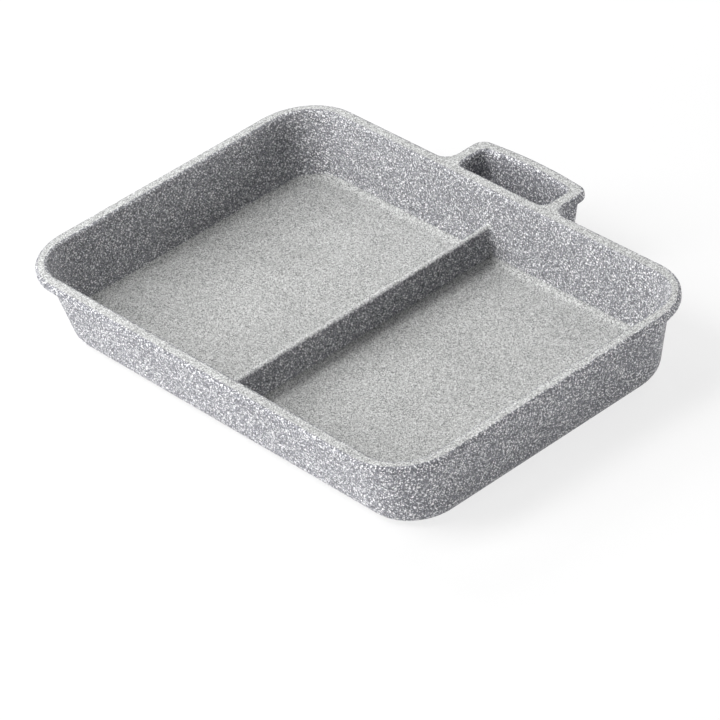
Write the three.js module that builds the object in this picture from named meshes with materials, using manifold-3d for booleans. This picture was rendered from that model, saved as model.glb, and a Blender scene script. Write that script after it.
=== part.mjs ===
// Divided frying pan: a cast rectangular tray with a flat lip, a low wall across its middle, a short loop
// at the back and a perforated steel plate let into the underside.
// Millimetres, +Z up. The origin is on the underside at the middle of the base, +X runs along the long side
// and +Y points to the loop.

import * as THREE from 'three';
import { mergeVertices } from 'three/addons/utils/BufferGeometryUtils.js';
import Module from 'manifold-3d';

// Tray
const RIM_LENGTH = 280;
const RIM_DEPTH = 190;
const RIM_CORNER_RADIUS = 31;
const CORNER_TIGHTENING = 0.6; // loss of plan corner radius for each millimetre further in from the rim
const PAN_HEIGHT = 43;
const WALL_THICKNESS = 3;
const WALL_DRAFT = THREE.MathUtils.degToRad(11);
const FLOOR_THICKNESS = 8;
const FLOOR_FILLET = 4.2;
const BASE_FILLET = 9;
const LIP_THICKNESS = 4.6;
const LIP_OVERHANG = 4.5;
const LIP_EDGE_RADIUS = 1.4;

// Divider wall
const DIVIDER_HEIGHT = 17.3;
const DIVIDER_TOP_WIDTH = 3.6;
const DIVIDER_EDGE_RADIUS = 1.5;
const DIVIDER_DRAFT = THREE.MathUtils.degToRad(4);
const DIVIDER_FOOT_FILLET = 1.4;
const DIVIDER_END_FILLET = 3;

// Loop handle
const LOOP_WIDTH = 75;
const LOOP_REACH = 25;
const LOOP_BOW = 2.6;
const LOOP_CORNER_RADIUS = 6.5;
const LOOP_SIDE_BAR = 7.4;
const LOOP_BACK_BAR = 5.8;
const LOOP_OPENING_RADIUS = 4.5;
const LOOP_ROOT_FILLET = 7;
const LOOP_ROOT_RUN = 4; // plain lip on each side of the root fillets
const SKIRT_DEPTH = 25;
const SKIRT_INSET = 3;
const SKIRT_DRAFT = THREE.MathUtils.degToRad(9);

// Induction plate
const PLATE_LENGTH = 214;
const PLATE_DEPTH = 124;
const PLATE_CORNER_RADIUS = 14;
const PLATE_THICKNESS = 0.8;
const PLATE_HOLE_DIAMETER = 6;
const PLATE_HOLE_PITCH = 18;
const PLATE_HOLE_MARGIN = 6; // plain steel between the outermost holes and the plate's edge

// Fits and facets
const FIT_GAP = 0.3;
const CUT_OVERSHOOT = 1;
const MIN_RADIUS = 0.5;
const CORNER_STEPS = 10;
const FILLET_STEPS = 6;
const EDGE_STEPS = 4;
const BOW_STEPS = 12;
const HOLE_STEPS = 12;

// Heights and places that several pieces share
const LIP_UNDERSIDE = PAN_HEIGHT - LIP_THICKNESS;
const RIM_BACK = RIM_DEPTH / 2;
const ROOT_SEAT = RIM_BACK - LIP_OVERHANG;
const ROOT_HALF_LENGTH = LOOP_WIDTH / 2 + LOOP_ROOT_FILLET + LOOP_ROOT_RUN;
const SKIRT_BOTTOM = PAN_HEIGHT - SKIRT_DEPTH;
const DIVIDER_TOP = FLOOR_THICKNESS + DIVIDER_HEIGHT;
const QUARTER = Math.PI / 2;

const wasm = await Module();
wasm.setup();

const coat = new THREE.MeshStandardMaterial({ color: 0xa8a8ac, roughness: 0.62, metalness: 0.1 });
const steel = new THREE.MeshStandardMaterial({ color: 0xb9babd, roughness: 0.35, metalness: 1 });

// Points on a circle from one angle to another, both ends included.
function arc(centreX, centreY, radius, from, to, steps) {
  const points = [];
  for (let i = 0; i <= steps; i += 1) {
    const angle = from + ((to - from) * i) / steps;
    points.push(new THREE.Vector2(centreX + radius * Math.cos(angle), centreY + radius * Math.sin(angle)));
  }
  return points;
}

// Counter-clockwise rectangle with round corners, centred on the origin.
function roundedRectangle(length, depth, radius) {
  const x = length / 2 - radius;
  const y = depth / 2 - radius;
  return [
    ...arc(x, y, radius, 0, QUARTER, CORNER_STEPS),
    ...arc(-x, y, radius, QUARTER, 2 * QUARTER, CORNER_STEPS),
    ...arc(-x, -y, radius, 2 * QUARTER, 3 * QUARTER, CORNER_STEPS),
    ...arc(x, -y, radius, 3 * QUARTER, 4 * QUARTER, CORNER_STEPS),
  ];
}

// Solid through counter-clockwise outlines with equal numbers of points, closed at the first and last one.
function loft(rings) {
  const count = rings[0].points.length;
  const positions = rings.flatMap(({ points, z }) => points.flatMap((p) => [p.x, p.y, z]));
  const index = [];
  for (let ring = 0; ring + 1 < rings.length; ring += 1) {
    for (let i = 0; i < count; i += 1) {
      const low = ring * count + i;
      const lowNext = ring * count + ((i + 1) % count);
      index.push(low, lowNext, lowNext + count, low, lowNext + count, low + count);
    }
  }
  const last = (rings.length - 1) * count;
  for (const [a, b, c] of THREE.ShapeUtils.triangulateShape(rings[0].points, [])) {
    index.push(a, c, b);
  }
  for (const [a, b, c] of THREE.ShapeUtils.triangulateShape(rings[rings.length - 1].points, [])) {
    index.push(last + a, last + b, last + c);
  }
  const geometry = new THREE.BufferGeometry();
  geometry.setAttribute('position', new THREE.Float32BufferAttribute(positions, 3));
  geometry.setIndex(index);
  return geometry;
}

function box(minX, maxX, minY, maxY, minZ, maxZ) {
  const geometry = new THREE.BoxGeometry(maxX - minX, maxY - minY, maxZ - minZ);
  return geometry.translate((minX + maxX) / 2, (minY + maxY) / 2, (minZ + maxZ) / 2);
}

function toSolid(geometry) {
  const bare = geometry.clone();
  bare.deleteAttribute('normal');
  bare.deleteAttribute('uv');
  const merged = mergeVertices(bare, 1e-4);
  const vertProperties = new Float32Array(merged.attributes.position.array);
  const triVerts = new Uint32Array(merged.index.array);
  return new wasm.Manifold(new wasm.Mesh({ numProp: 3, vertProperties, triVerts }));
}

function toGeometry(solid) {
  const { vertProperties, triVerts } = solid.getMesh();
  const geometry = new THREE.BufferGeometry();
  geometry.setAttribute('position', new THREE.BufferAttribute(new Float32Array(vertProperties), 3));
  geometry.setIndex(new THREE.BufferAttribute(new Uint32Array(triVerts), 1));
  geometry.computeVertexNormals();
  return geometry;
}

// The tray's section is drawn as points (distance in from the rim, height), and each point is one outline.
const wallInset = (z) => LIP_OVERHANG + (LIP_UNDERSIDE - z) * Math.tan(WALL_DRAFT);

const innerWallInset = (z) => wallInset(z) + WALL_THICKNESS;

function panRing(inset, z) {
  const radius = Math.max(RIM_CORNER_RADIUS - CORNER_TIGHTENING * inset, MIN_RADIUS);
  return { points: roundedRectangle(RIM_LENGTH - 2 * inset, RIM_DEPTH - 2 * inset, radius), z };
}

// Outside of the tray, from the edge of the base up to the lip's top edge.
function outerSection() {
  const tangent = BASE_FILLET * (1 - Math.sin(WALL_DRAFT));
  const base = wallInset(tangent) + BASE_FILLET * Math.cos(WALL_DRAFT);
  const edge = LIP_EDGE_RADIUS;
  return [
    ...arc(base, BASE_FILLET, BASE_FILLET, 3 * QUARTER, 2 * QUARTER + WALL_DRAFT, FILLET_STEPS),
    new THREE.Vector2(LIP_OVERHANG, LIP_UNDERSIDE),
    ...arc(edge, LIP_UNDERSIDE + edge, edge, 3 * QUARTER, 2 * QUARTER, EDGE_STEPS),
    ...arc(edge, PAN_HEIGHT - edge, edge, 2 * QUARTER, QUARTER, EDGE_STEPS),
  ];
}

// Inside of the tray, from the lip's inner edge down to the edge of the flat floor.
const FLOOR_FILLET_TOP = FLOOR_THICKNESS + FLOOR_FILLET * (1 - Math.sin(WALL_DRAFT));
const FLOOR_INSET = innerWallInset(FLOOR_FILLET_TOP) + FLOOR_FILLET * Math.cos(WALL_DRAFT);

function cavitySection() {
  const edge = LIP_EDGE_RADIUS;
  const edgeTangent = PAN_HEIGHT - edge * (1 - Math.sin(WALL_DRAFT));
  const lip = innerWallInset(edgeTangent) - edge * Math.cos(WALL_DRAFT);
  const filletCentre = FLOOR_THICKNESS + FLOOR_FILLET;
  return [
    ...arc(lip, PAN_HEIGHT - edge, edge, QUARTER, WALL_DRAFT, EDGE_STEPS),
    ...arc(FLOOR_INSET, filletCentre, FLOOR_FILLET, 2 * QUARTER + WALL_DRAFT, 3 * QUARTER, FILLET_STEPS),
  ];
}

// Distance in from the rim of the tray's inside at one height.
function cavityInset(z) {
  if (z >= FLOOR_FILLET_TOP) return innerWallInset(z);
  const drop = FLOOR_THICKNESS + FLOOR_FILLET - z;
  return FLOOR_INSET - Math.sqrt(FLOOR_FILLET ** 2 - drop ** 2);
}

function buildShell() {
  const section = [...outerSection(), ...cavitySection()];
  const tray = toSolid(loft(section.map((point) => panRing(point.x, point.y))));
  const rootNotch = box(
    -ROOT_HALF_LENGTH, ROOT_HALF_LENGTH,
    ROOT_SEAT, RIM_BACK + CUT_OVERSHOOT,
    LIP_UNDERSIDE - CUT_OVERSHOOT, PAN_HEIGHT + CUT_OVERSHOOT,
  );
  const recess = loft([-CUT_OVERSHOOT, PLATE_THICKNESS].map((z) => ({ points: plateOutline(FIT_GAP), z })));
  return toGeometry(tray.subtract(toSolid(rootNotch)).subtract(toSolid(recess)));
}

// Plan outline of the divider at one height: straight sides that flare into the front and back walls.
// The sides move in by `trim` where the top edge is rounded and out by `spread` in the foot fillet.
function dividerRing(z, trim, spread) {
  const half = DIVIDER_TOP_WIDTH / 2 + (DIVIDER_TOP - z) * Math.tan(DIVIDER_DRAFT);
  const wall = RIM_BACK - cavityInset(z);
  const flareX = half + DIVIDER_END_FILLET;
  const flareY = wall - DIVIDER_END_FILLET;
  const radius = Math.max(DIVIDER_END_FILLET + trim - spread, MIN_RADIUS);
  const backRight = [
    ...arc(flareX, flareY, radius, 2 * QUARTER, QUARTER, FILLET_STEPS),
    new THREE.Vector2(flareX, wall + DIVIDER_END_FILLET),
  ];
  const frontRight = backRight.map((p) => new THREE.Vector2(p.x, -p.y)).reverse();
  const right = [...frontRight, ...backRight];
  const left = right.map((p) => new THREE.Vector2(-p.x, -p.y));
  return { points: [...right, ...left], z };
}

function buildDivider() {
  const foot = DIVIDER_FOOT_FILLET;
  const edge = DIVIDER_EDGE_RADIUS;
  const rings = [
    ...arc(foot, foot, foot, 3 * QUARTER, 2 * QUARTER, FILLET_STEPS)
      .map((p) => dividerRing(FLOOR_THICKNESS + p.y, 0, p.x)),
    ...arc(edge, -edge, edge, 2 * QUARTER, QUARTER, EDGE_STEPS)
      .map((p) => dividerRing(DIVIDER_TOP + p.y, p.x, 0)),
  ];
  const inside = cavitySection().reverse().map((point) => panRing(point.x + FIT_GAP, point.y));
  const below = { points: inside[0].points, z: FLOOR_THICKNESS - CUT_OVERSHOOT };
  return toGeometry(toSolid(loft(rings)).intersect(toSolid(loft([below, ...inside]))));
}

// Right side, bowed back and left side of the loop as one run of tangent arcs.
function bowedBack(halfWidth, back, bow, radius) {
  const bowRadius = (halfWidth ** 2 + bow ** 2) / (2 * bow);
  const bowCentre = back - bowRadius;
  const cornerX = halfWidth - radius;
  const cornerY = bowCentre + Math.sqrt((bowRadius - radius) ** 2 - cornerX ** 2);
  const swing = Math.asin(cornerX / (bowRadius - radius));
  return [
    ...arc(cornerX, cornerY, radius, 0, QUARTER - swing, FILLET_STEPS),
    ...arc(0, bowCentre, bowRadius, QUARTER - swing, QUARTER + swing, BOW_STEPS).slice(1, -1),
    ...arc(-cornerX, cornerY, radius, QUARTER + swing, 2 * QUARTER, FILLET_STEPS),
  ];
}

// The loop's flange: the lip carried round the loop, with hollow root fillets and rounded edges.
function loopFlange() {
  const half = LOOP_WIDTH / 2;
  const end = ROOT_HALF_LENGTH + LIP_OVERHANG;
  const root = ROOT_SEAT - LIP_OVERHANG;
  const filletX = half + LOOP_ROOT_FILLET;
  const filletY = RIM_BACK + LOOP_ROOT_FILLET;
  const outline = [
    new THREE.Vector2(end, root),
    new THREE.Vector2(end, RIM_BACK),
    ...arc(filletX, filletY, LOOP_ROOT_FILLET, 3 * QUARTER, 2 * QUARTER, FILLET_STEPS),
    ...bowedBack(half, RIM_BACK + LOOP_REACH, LOOP_BOW, LOOP_CORNER_RADIUS),
    ...arc(-filletX, filletY, LOOP_ROOT_FILLET, 4 * QUARTER, 3 * QUARTER, FILLET_STEPS),
    new THREE.Vector2(-end, RIM_BACK),
    new THREE.Vector2(-end, root),
  ];
  const flange = new THREE.ExtrudeGeometry(new THREE.Shape(outline), {
    depth: LIP_THICKNESS - 2 * LIP_EDGE_RADIUS,
    bevelThickness: LIP_EDGE_RADIUS,
    bevelSize: LIP_EDGE_RADIUS,
    bevelOffset: -LIP_EDGE_RADIUS,
    bevelSegments: EDGE_STEPS,
  });
  return flange.translate(0, 0, LIP_UNDERSIDE + LIP_EDGE_RADIUS);
}

// The skirt's outside below the flange; its front lies within the pan's wall and is cut back later.
function skirtRing(z) {
  const taper = Math.max(LIP_UNDERSIDE - z, 0) * Math.tan(SKIRT_DRAFT);
  const half = LOOP_WIDTH / 2 - SKIRT_INSET - taper;
  const back = RIM_BACK + LOOP_REACH - SKIRT_INSET - taper;
  const front = RIM_BACK - wallInset(z) - WALL_THICKNESS / 2;
  const radius = Math.max(LOOP_CORNER_RADIUS - SKIRT_INSET, MIN_RADIUS);
  const points = [
    new THREE.Vector2(half, front),
    ...bowedBack(half, back, LOOP_BOW, radius),
    new THREE.Vector2(-half, front),
  ];
  return { points, z };
}

// The loop's opening at one height; `flare` widens it where its top edge is rounded.
function openingRing(z, front, flare) {
  const taper = Math.max(PAN_HEIGHT - z, 0) * Math.tan(SKIRT_DRAFT);
  const half = LOOP_WIDTH / 2 - LOOP_SIDE_BAR - taper + flare;
  const back = RIM_BACK + LOOP_REACH - LOOP_BACK_BAR - taper + flare;
  const radius = LOOP_OPENING_RADIUS + flare;
  const cornerX = half - radius;
  const cornerY = front - flare + radius;
  const points = [
    ...arc(cornerX, cornerY, radius, 3 * QUARTER, 4 * QUARTER, FILLET_STEPS),
    ...bowedBack(half, back, LOOP_BOW, radius),
    ...arc(-cornerX, cornerY, radius, 2 * QUARTER, 3 * QUARTER, FILLET_STEPS),
  ];
  return { points, z };
}

function buildLoop() {
  const edge = LIP_EDGE_RADIUS;
  const skirt = loft([skirtRing(SKIRT_BOTTOM), skirtRing(LIP_UNDERSIDE), skirtRing(PAN_HEIGHT - edge)]);
  const mouth = loft([
    openingRing(LIP_UNDERSIDE - CUT_OVERSHOOT, RIM_BACK, 0),
    ...arc(edge, PAN_HEIGHT - edge, edge, 2 * QUARTER, QUARTER, EDGE_STEPS)
      .map((p) => openingRing(p.y, RIM_BACK, p.x)),
    openingRing(PAN_HEIGHT + CUT_OVERSHOOT, RIM_BACK, edge),
  ]);
  const throatFront = RIM_BACK - wallInset(SKIRT_BOTTOM) - WALL_THICKNESS;
  const throat = loft([
    openingRing(SKIRT_BOTTOM - CUT_OVERSHOOT, throatFront - LOOP_OPENING_RADIUS, 0),
    openingRing(LIP_UNDERSIDE, throatFront - LOOP_OPENING_RADIUS, 0),
  ]);
  const panWall = loft([0, LIP_UNDERSIDE].map((z) => panRing(wallInset(z) - FIT_GAP, z)));
  const seat = box(
    -RIM_LENGTH, RIM_LENGTH,
    0, ROOT_SEAT,
    LIP_UNDERSIDE - FIT_GAP, PAN_HEIGHT + CUT_OVERSHOOT,
  );
  const span = box(
    -ROOT_HALF_LENGTH, ROOT_HALF_LENGTH,
    0, RIM_BACK + LOOP_REACH + CUT_OVERSHOOT,
    0, PAN_HEIGHT + CUT_OVERSHOOT,
  );
  const cuts = [mouth, throat, panWall, seat].map(toSolid);
  const loop = toSolid(loopFlange()).add(toSolid(skirt)).intersect(toSolid(span));
  return toGeometry(cuts.reduce((solid, cut) => solid.subtract(cut), loop));
}

function plateOutline(clearance) {
  return roundedRectangle(
    PLATE_LENGTH + 2 * clearance,
    PLATE_DEPTH + 2 * clearance,
    PLATE_CORNER_RADIUS + clearance,
  );
}

// Centres of the plate's holes: staggered rows with plain steel at the middle and along the edge.
function holeCentres() {
  const reach = PLATE_HOLE_DIAMETER / 2 + PLATE_HOLE_MARGIN;
  const limitX = PLATE_LENGTH / 2 - reach;
  const limitY = PLATE_DEPTH / 2 - reach;
  const rowPitch = (PLATE_HOLE_PITCH * Math.sqrt(3)) / 2;
  const rows = Math.floor(limitY / rowPitch);
  const columns = Math.ceil(limitX / PLATE_HOLE_PITCH);
  const cornerX = PLATE_LENGTH / 2 - PLATE_CORNER_RADIUS;
  const cornerY = PLATE_DEPTH / 2 - PLATE_CORNER_RADIUS;
  const centres = [];
  for (let row = -rows; row <= rows; row += 1) {
    const shift = row % 2 === 0 ? PLATE_HOLE_PITCH / 2 : 0;
    for (let column = -columns - 1; column <= columns; column += 1) {
      const centre = new THREE.Vector2(column * PLATE_HOLE_PITCH + shift, row * rowPitch);
      const beyond = new THREE.Vector2(Math.abs(centre.x) - cornerX, Math.abs(centre.y) - cornerY);
      const inCorner = beyond.x > 0 && beyond.y > 0;
      const clear = !inCorner || beyond.length() <= PLATE_CORNER_RADIUS - reach;
      if (Math.abs(centre.x) <= limitX && clear) centres.push(centre);
    }
  }
  return centres;
}

function buildPlate() {
  const shape = new THREE.Shape(plateOutline(0));
  for (const centre of holeCentres()) {
    const ring = arc(centre.x, centre.y, PLATE_HOLE_DIAMETER / 2, 0, 4 * QUARTER, HOLE_STEPS).slice(0, -1);
    shape.holes.push(new THREE.Path(ring));
  }
  return new THREE.ExtrudeGeometry(shape, { depth: PLATE_THICKNESS, bevelEnabled: false });
}

function piece(name, geometry, material) {
  const mesh = new THREE.Mesh(geometry, material);
  mesh.name = name;
  return mesh;
}

const casting = new THREE.Group();
casting.add(piece('pan_shell', buildShell(), coat));
casting.add(piece('divider_wall', buildDivider(), coat));
casting.add(piece('loop_handle', buildLoop(), coat));

const pan = new THREE.Group();
pan.add(casting);
pan.add(piece('induction_plate', buildPlate(), steel));

export default pan;
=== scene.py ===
"""Divided frying pan: one speckled casting with a steel plate in its underside, on a pale studio floor.

Lengths in the classes are millimetres, as in the part's source, and meshes are written in metres.
"""

import logging
import math
from collections.abc import Callable
from dataclasses import dataclass, field
from enum import Enum

import bmesh
import bpy
import numpy as np
from mathutils import Matrix, Vector


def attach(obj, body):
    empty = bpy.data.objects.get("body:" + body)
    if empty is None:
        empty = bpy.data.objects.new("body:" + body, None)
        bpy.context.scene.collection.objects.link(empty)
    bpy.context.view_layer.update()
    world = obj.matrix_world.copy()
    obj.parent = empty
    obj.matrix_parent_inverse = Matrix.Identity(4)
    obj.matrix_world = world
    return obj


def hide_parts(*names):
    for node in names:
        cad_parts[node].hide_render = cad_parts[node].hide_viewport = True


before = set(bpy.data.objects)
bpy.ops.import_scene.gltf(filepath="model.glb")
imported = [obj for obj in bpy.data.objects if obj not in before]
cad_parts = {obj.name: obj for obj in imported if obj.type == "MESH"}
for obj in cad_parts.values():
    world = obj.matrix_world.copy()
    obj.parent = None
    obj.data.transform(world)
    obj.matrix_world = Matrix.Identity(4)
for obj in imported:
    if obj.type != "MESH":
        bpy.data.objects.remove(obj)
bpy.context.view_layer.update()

LOG = logging.getLogger("divided_pan")
MM = 0.001
QUARTER = math.pi / 2
TOLERANCE = 1e-6

Point = tuple[float, float]
Vertex = tuple[float, float, float]
Colour = tuple[float, float, float, float]

WHITE: Colour = (1.0, 1.0, 1.0, 1.0)


class Zone(Enum):
    """Part of the casting that a vertex lies on, with two shares for the coat there: how much of the floor's
    finer, paler coat it takes, and how much painted highlight lightens it.
    """

    # First share: the floor's finer coat, whose paler colour is partly painted light on the floor and the
    # tops, and a little on the inner walls. Second share: a painted highlight on the tops.
    OUTSIDE = (0.0, 0.0)
    INNER_WALL = (0.10, 0.0)
    TOP = (0.9, 1.0)
    FLOOR = (1.0, 0.0)


ZoneRule = Zone | Callable[[Vertex], Zone]


def arc(cx: float, cy: float, radius: float, start: float, stop: float, steps: int) -> list[Point]:
    """Points on a circle, both ends included.

    Args:
        cx: Centre, first coordinate.
        cy: Centre, second coordinate.
        radius: Radius of the circle.
        start: Angle of the first point, in radians.
        stop: Angle of the last point, in radians.
        steps: Number of chords.

    Returns:
        The points in order.
    """
    angles = [start + (stop - start) * i / steps for i in range(steps + 1)]
    return [(cx + radius * math.cos(a), cy + radius * math.sin(a)) for a in angles]


def even(start: float, stop: float, steps: int) -> list[float]:
    """Evenly spaced values, both ends included.

    Args:
        start: First value.
        stop: Last value.
        steps: Number of intervals.

    Returns:
        The values in order.
    """
    return [start + (stop - start) * i / steps for i in range(steps + 1)]


def at_height(points: list[Point], z: float) -> list[Vertex]:
    """Plan points lifted to one height."""
    return [(x, y, z) for x, y in points]


class HalfMesh:
    """Right half of a closed mesh that is mirrored in the plane x = 0 and welded there."""

    WELD = 2e-6
    GRID = 2e-5
    SHOWN = 8

    def __init__(self) -> None:
        """Starts with no vertices and no faces."""
        self.vertices: list[Vertex] = []
        self.zones: list[Zone] = []
        self.faces: list[list[int]] = []

    def add(self, points: list[Vertex], zone: ZoneRule) -> list[int]:
        """Adds a run of vertices.

        Args:
            points: Places in millimetres.
            zone: Part of the casting that they lie on, or a rule that names it for each place.

        Returns:
            Their numbers in this mesh.
        """
        first = len(self.vertices)
        self.vertices.extend(points)
        self.zones.extend(zone if isinstance(zone, Zone) else zone(point) for point in points)
        return list(range(first, len(self.vertices)))

    def strip(self, rows: list[list[Vertex]], zone: ZoneRule, skip: tuple[int, ...] = ()) -> None:
        """Joins neighbouring rows of equal length with quads.

        Args:
            rows: Rows of places in millimetres.
            zone: Part of the casting that they lie on, or a rule that names it for each place.
            skip: Columns that stay open.
        """
        numbers = [self.add(row, zone) for row in rows]
        for low, high in zip(numbers, numbers[1:]):
            for i in range(len(low) - 1):
                if i not in skip:
                    self.faces.append([low[i], low[i + 1], high[i + 1], high[i]])

    def polygon(self, points: list[Vertex], zone: Zone) -> None:
        """Adds one flat face through the points."""
        self.faces.append(self.add(points, zone))

    def grid_place(self, vertex: bmesh.types.BMVert) -> tuple[int, ...]:
        """Place of a vertex on a fine grid, which coinciding vertices share."""
        return tuple(round(c / self.GRID) for c in vertex.co)

    def to_mesh(self, name: str) -> bpy.types.Mesh:
        """Mirrors, welds and turns the faces outwards.

        Args:
            name: Name of the new mesh.

        Returns:
            The closed mesh in metres, with the vertex attributes "fineness" and "paleness".

        Raises:
            ValueError: If an edge is open or shared by more than two faces.
        """
        bm = bmesh.new()
        floor_coat_and_light = bm.verts.layers.float.new("floor_coat_and_light")
        top_highlight = bm.verts.layers.float.new("top_highlight")
        finest: dict[tuple[int, ...], tuple[float, float]] = {}
        for side in (1, -1):
            made = []
            for (x, y, z), zone in zip(self.vertices, self.zones):
                vertex = bm.verts.new((side * x * MM, y * MM, z * MM))
                key = self.grid_place(vertex)
                finest[key] = max(finest.get(key, zone.value), zone.value)
                made.append(vertex)
            for face in self.faces:
                bm.faces.new([made[i] for i in face[::side]])
        for vertex in bm.verts:
            vertex[floor_coat_and_light], vertex[top_highlight] = finest[self.grid_place(vertex)]
        bmesh.ops.remove_doubles(bm, verts=bm.verts, dist=self.WELD)
        bmesh.ops.dissolve_degenerate(bm, edges=bm.edges, dist=self.WELD)
        bmesh.ops.recalc_face_normals(bm, faces=bm.faces)
        open_edges = [edge for edge in bm.edges if len(edge.link_faces) != 2]
        if open_edges:
            places = [tuple(round(c / MM, 2) for c in edge.verts[0].co) for edge in open_edges[:self.SHOWN]]
            raise ValueError(f"{name} has {len(open_edges)} edges that aren't closed, near {places}")
        mesh = bpy.data.meshes.new(name)
        bm.to_mesh(mesh)
        bm.free()
        return mesh


def new_piece(name: str, mesh: bpy.types.Mesh) -> bpy.types.Object:
    """Links an object at the origin that shows a mesh.

    Args:
        name: Name of the object.
        mesh: Mesh that it shows.

    Returns:
        The object.
    """
    piece = bpy.data.objects.new(name, mesh)
    bpy.context.scene.collection.objects.link(piece)
    return piece


def bake_modifiers(piece: bpy.types.Object) -> None:
    """Replaces an object's mesh by its evaluated one and removes its modifiers.

    Args:
        piece: Object to change.
    """
    depsgraph = bpy.context.evaluated_depsgraph_get()
    mesh = bpy.data.meshes.new_from_object(piece.evaluated_get(depsgraph), depsgraph=depsgraph)
    mesh.name = piece.data.name
    piece.modifiers.clear()
    piece.data = mesh


def smooth_piece(piece: bpy.types.Object, crease: float) -> None:
    """Shades an object smoothly between its creases, with flat faces kept flat.

    Args:
        piece: Object to shade.
        crease: Angle in degrees past which an edge stays sharp.
    """
    piece.data.shade_smooth()
    piece.data.set_sharp_from_angle(angle=math.radians(crease))
    weighted = piece.modifiers.new("even_normals", "WEIGHTED_NORMAL")
    weighted.mode = "FACE_AREA"
    weighted.keep_sharp = True
    bake_modifiers(piece)


class NodePen:
    """Short way to write a node tree."""

    def __init__(self, tree: bpy.types.NodeTree) -> None:
        """Keeps the tree that is written."""
        self.tree = tree

    def node(self, kind: str, settings: dict | None = None, inputs: dict | None = None) -> bpy.types.Node:
        """Adds one node.

        Args:
            kind: Node type.
            settings: Properties by name.
            inputs: Values or sockets by input name or number.

        Returns:
            The new node.
        """
        made = self.tree.nodes.new(kind)
        for name, value in (settings or {}).items():
            setattr(made, name, value)
        for key, value in (inputs or {}).items():
            socket = made.inputs[key]
            if isinstance(value, bpy.types.NodeSocket):
                self.tree.links.new(value, socket)
            else:
                socket.default_value = value
        return made

    def math(self, operation: str, *values: object) -> bpy.types.NodeSocket:
        """Adds a Math node and returns its result."""
        made = self.node("ShaderNodeMath", {"operation": operation}, dict(enumerate(values)))
        return made.outputs[0]

    def ramp(
        self, value: bpy.types.NodeSocket, low: float, high: float, to: Point = (0.0, 1.0)
    ) -> bpy.types.NodeSocket:
        """Maps a value smoothly from one range to another.

        Args:
            value: Socket to map.
            low: Value that gives the first end.
            high: Value that gives the second end.
            to: The two ends.

        Returns:
            The mapped value.
        """
        inputs = {"Value": value, "From Min": low, "From Max": high, "To Min": to[0], "To Max": to[1]}
        made = self.node("ShaderNodeMapRange", {"interpolation_type": "SMOOTHSTEP"}, inputs)
        return made.outputs["Result"]

    def mix(self, factor: object, first: object, second: object) -> bpy.types.NodeSocket:
        """Adds a colour mix and returns its result."""
        inputs = {0: factor, 6: first, 7: second}
        return self.node("ShaderNodeMix", {"data_type": "RGBA"}, inputs).outputs[2]


def new_material(name: str) -> tuple[bpy.types.Material, NodePen]:
    """Makes an empty node material.

    Args:
        name: Name of the material.

    Returns:
        The material and a pen for its tree.
    """
    material = bpy.data.materials.new(name)
    material.use_nodes = True
    material.node_tree.nodes.clear()
    return material, NodePen(material.node_tree)


def surface_output(pen: NodePen, shader: bpy.types.NodeSocket) -> None:
    """Links a shader to the tree's material output."""
    pen.node("ShaderNodeOutputMaterial", inputs={"Surface": shader})


def millimetres(pen: NodePen, scale: tuple[float, float, float] = (1.0, 1.0, 1.0)) -> bpy.types.NodeSocket:
    """Object coordinates in millimetres.

    Args:
        pen: Pen of the material's tree.
        scale: Further stretch of each axis.

    Returns:
        The coordinates.
    """
    place = pen.node("ShaderNodeTexCoord").outputs["Object"]
    factors = tuple(s / MM for s in scale)
    return pen.node("ShaderNodeMapping", inputs={"Vector": place, "Scale": factors}).outputs["Vector"]


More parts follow.
